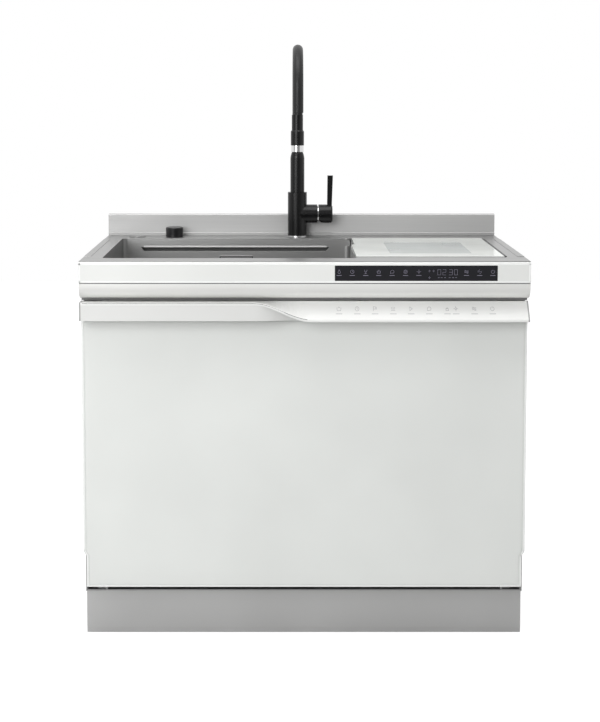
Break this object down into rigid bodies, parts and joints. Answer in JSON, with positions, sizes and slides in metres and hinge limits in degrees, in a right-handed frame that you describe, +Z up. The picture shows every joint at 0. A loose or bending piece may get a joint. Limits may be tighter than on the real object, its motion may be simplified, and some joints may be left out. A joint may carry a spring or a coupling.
{
  "type": "integrated sink dishwasher",
  "caption": "Kitchen unit with a worktop sink, a lidded prep basin and a mixer tap over a dishwasher with a drop-down door",
  "frame": {"origin": "on the floor, under the middle of the unit's width and depth", "axes": "+X to the unit's right as seen from the front, -Y to the front, +Z up"},
  "size_m": [0.9, 0.6, 1.2245],
  "materials": {
    "deck_steel": "fine brushed along the width",
    "bowl_steel": "satin",
    "panel_steel": "silver grey, satin",
    "frame_steel": "plain",
    "tub_steel": "satin",
    "rack_wire": "grey coating",
    "apron_white": "satin",
    "display_black": "gloss",
    "door_paint": "satin, pale greenish white",
    "bar_white": "satin",
    "bar_metal": "satin anodised",
    "black_coat": "matte black",
    "black_rubber": "matte",
    "black_plastic": "matte",
    "chrome_trim": "polished",
    "grey_plastic": "matte",
    "pump_metal": "satin",
    "foot_plastic": "matte",
    "lid_white": "gloss, opaque pale",
    "lid_frame_metal": "satin",
    "window_tint": "gloss, tinted"
  },
  "bodies": {
    "cabinet": {"base_tray": "frame_steel", "levelling_feet": "foot_plastic", "plinth": "panel_steel", "cabinet_sides": "panel_steel", "back_panel": "panel_steel", "worktop": "deck_steel", "worktop_frame": "frame_steel", "upstand": "deck_steel", "apron_panel": "apron_white", "display_glass": "display_black", "bullnose_profile": "deck_steel", "sink_bowl": "bowl_steel", "overflow_channel": "black_plastic", "overflow_cover": "bowl_steel", "drain_fitting": "bowl_steel", "siphon_trap": "black_plastic", "prep_basin": "bowl_steel", "prep_waste": "bowl_steel", "lid_pivot_blocks": "frame_steel", "tub": "tub_steel", "tub_gasket": "black_rubber", "sump": "black_plastic", "spray_manifold": "black_plastic", "circulation_pump": "pump_metal", "drain_pump": "pump_metal", "inlet_valve": "grey_plastic", "control_box": "black_plastic", "rack_rails": "frame_steel", "door_hinge_brackets": "frame_steel", "latch_crossbar": "frame_steel", "mixer_body": "black_coat", "mixer_base_ring": "chrome_trim", "under_deck_fittings": "frame_steel", "button_ring": "chrome_trim"},
    "door": {"door_outer_panel": "door_paint", "door_inner_liner": "tub_steel", "handle_blade": "bar_white", "handle_grip": "bar_white", "handle_spine": "bar_metal", "door_hinge_arms": "frame_steel", "dispenser_body": "grey_plastic"},
    "dispenser_lid": {"dispenser_lid": "grey_plastic"},
    "lower_rack": {"lower_rack": "rack_wire"},
    "cutlery_tray": {"cutlery_tray": "rack_wire", "tray_sides": "rack_wire"},
    "spray_arm_left": {"spray_arm_left": "grey_plastic"},
    "spray_arm_right": {"spray_arm_right": "grey_plastic"},
    "filter": {"filter_cup": "grey_plastic"},
    "mixer_cap": {"mixer_cap": "black_coat"},
    "mixer_lever": {"mixer_lever": "black_coat"},
    "spout": {"spout_tube": "black_coat", "spout_ring": "chrome_trim", "spout_neck": "black_rubber", "aerator": "black_plastic"},
    "drain_knob": {"drain_knob": "black_plastic"},
    "drain_plug": {"drain_plug": "bowl_steel"},
    "air_button": {"air_button": "chrome_trim"},
    "lid": {"lid_glass": "lid_white", "lid_window": "window_tint", "lid_frame": "lid_frame_metal"}
  },
  "joints": [
    {"name": "door_hinge", "type": "hinge", "parent": "cabinet", "child": "door", "pos_m": [0, -0.245, 0.125], "axis": [1, 0, 0], "range_deg": [0, 90]},
    {"name": "dispenser_lid_slide", "type": "slide", "parent": "door", "child": "dispenser_lid", "axis": [1, 0, 0], "range_m": [0, 0.07]},
    {"name": "lower_rack_slide", "type": "slide", "parent": "cabinet", "child": "lower_rack", "axis": [0, -1, 0], "range_m": [0, 0.158]},
    {"name": "cutlery_tray_slide", "type": "slide", "parent": "cabinet", "child": "cutlery_tray", "axis": [0, -1, 0], "range_m": [0, 0.3]},
    {"name": "spray_arm_left_spin", "type": "hinge", "parent": "cabinet", "child": "spray_arm_left", "pos_m": [-0.2, 0, 0.17], "axis": [0, 0, 1], "continuous": true},
    {"name": "spray_arm_right_spin", "type": "hinge", "parent": "cabinet", "child": "spray_arm_right", "pos_m": [0.2, 0, 0.17], "axis": [0, 0, 1], "continuous": true},
    {"name": "filter_turn", "type": "hinge", "parent": "cabinet", "child": "filter", "pos_m": [0, 0.15, 0.16], "axis": [0, 0, 1], "range_deg": [0, 90]},
    {"name": "mixer_cap_turn", "type": "hinge", "parent": "cabinet", "child": "mixer_cap", "pos_m": [0.055, 0.255, 0.838], "axis": [1, 0, 0], "range_deg": [-45, 45]},
    {"name": "mixer_lever_tilt", "type": "hinge", "parent": "mixer_cap", "child": "mixer_lever", "pos_m": [0.0629, 0.255, 0.846], "axis": [0, 1, 0], "range_deg": [0, 25]},
    {"name": "spout_swivel", "type": "hinge", "parent": "cabinet", "child": "spout", "pos_m": [-0.01, 0.255, 0.9], "axis": [0, 0, 1], "range_deg": [-90, 90]},
    {"name": "drain_knob_turn", "type": "hinge", "parent": "cabinet", "child": "drain_knob", "pos_m": [-0.294, 0.25, 0.79], "axis": [0, 0, 1], "range_deg": [0, 90]},
    {"name": "drain_plug_lift", "type": "slide", "parent": "cabinet", "child": "drain_plug", "axis": [0, 0, 1], "range_m": [0, 0.008]},
    {"name": "air_button_press", "type": "slide", "parent": "cabinet", "child": "air_button", "axis": [0, 0, -1], "range_m": [0, 0.003], "stiffness_N_per_m": 300, "springref_m": -0.003},
    {"name": "lid_hinge", "type": "hinge", "parent": "cabinet", "child": "lid", "pos_m": [0.26, 0.213, 0.782], "axis": [-1, 0, 0], "range_deg": [0, 85]}
  ],
  "couplings": [
    {"joint": "lower_rack_slide", "follows": "door_hinge", "m_per_rad": 0.1},
    {"joint": "cutlery_tray_slide", "follows": "door_hinge", "m_per_rad": 0.19},
    {"joint": "drain_knob_turn", "follows": "drain_plug_lift", "rad_per_m": 196.3}
  ]
}
